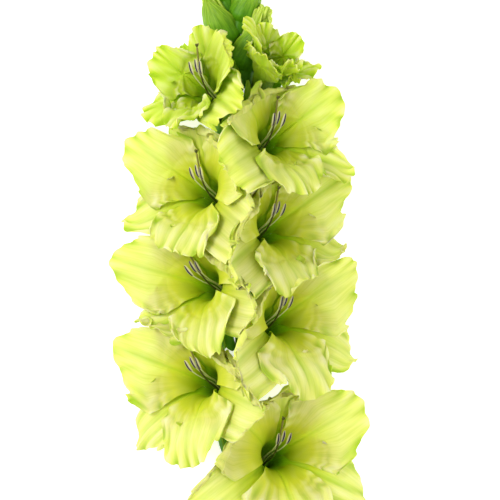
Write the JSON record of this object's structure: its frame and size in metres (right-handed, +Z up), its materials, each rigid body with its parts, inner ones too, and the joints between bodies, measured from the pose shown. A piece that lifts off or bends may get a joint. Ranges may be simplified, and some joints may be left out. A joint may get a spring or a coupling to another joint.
{
  "type": "cut gladiolus flower spike",
  "caption": "Cut gladiolus spike lying on its back: a long stem with clasping leaves, two ranks of ruffled yellow-green florets and a tip of closed buds.",
  "frame": {"origin": "the middle of the bottom of the whole spike's box, on the surface it lies on", "axes": "+Y from the cut end to the tip of the spike, +Z up, the way the florets face, +X to the right seen from above with the tip away"},
  "size_m": [0.2058, 0.8004, 0.1137],
  "materials": {
    "stem": "smooth fresh green flower stem with fine lengthwise fibres and a waxy satin skin",
    "leaf": "sword-shaped leaf with strong parallel veins, waxy satin",
    "bract": "pointed green sheath with fine parallel veins, satin",
    "bud": "tightly rolled yellow-green tepals, satin",
    "tepal": "thin translucent chartreuse tepal, fine radiating veins, pale ruffled margin, soft satin",
    "stamen": "pale filaments with slim brownish-violet anthers, matt",
    "style": "slender olive style with a pale three-lobed stigma, matt"
  },
  "bodies": {
    "root": {"stem": "stem", "stem_leaf_1": "leaf", "stem_leaf_2": "leaf", "floret_1_perianth": "tepal", "floret_1_outer_bract": "bract", "floret_1_inner_bract": "bract", "floret_1_stamens": "stamen", "floret_1_style": "style", "floret_2_perianth": "tepal", "floret_2_outer_bract": "bract", "floret_2_inner_bract": "bract", "floret_2_stamens": "stamen", "floret_2_style": "style", "floret_3_perianth": "tepal", "floret_3_outer_bract": "bract", "floret_3_inner_bract": "bract", "floret_3_stamens": "stamen", "floret_3_style": "style", "floret_4_perianth": "tepal", "floret_4_outer_bract": "bract", "floret_4_inner_bract": "bract", "floret_4_stamens": "stamen", "floret_4_style": "style", "floret_5_perianth": "tepal", "floret_5_outer_bract": "bract", "floret_5_inner_bract": "bract", "floret_5_stamens": "stamen", "floret_5_style": "style", "floret_6_perianth": "tepal", "floret_6_outer_bract": "bract", "floret_6_inner_bract": "bract", "floret_6_stamens": "stamen", "floret_6_style": "style", "floret_7_perianth": "tepal", "floret_7_outer_bract": "bract", "floret_7_inner_bract": "bract", "floret_7_stamens": "stamen", "floret_7_style": "style", "floret_8_perianth": "tepal", "floret_8_outer_bract": "bract", "floret_8_inner_bract": "bract", "floret_8_stamens": "stamen", "floret_8_style": "style", "floret_9_perianth": "tepal", "floret_9_outer_bract": "bract", "floret_9_inner_bract": "bract", "bud_1": "bud", "bud_1_bract": "bract", "bud_2": "bud", "bud_2_bract": "bract", "bud_3": "bud", "bud_3_bract": "bract", "bud_4": "bud", "bud_4_bract": "bract", "bud_5": "bud", "bud_5_bract": "bract", "bud_6": "bud", "bud_6_bract": "bract", "tip_bud": "bud"}
  },
  "joints": []
}
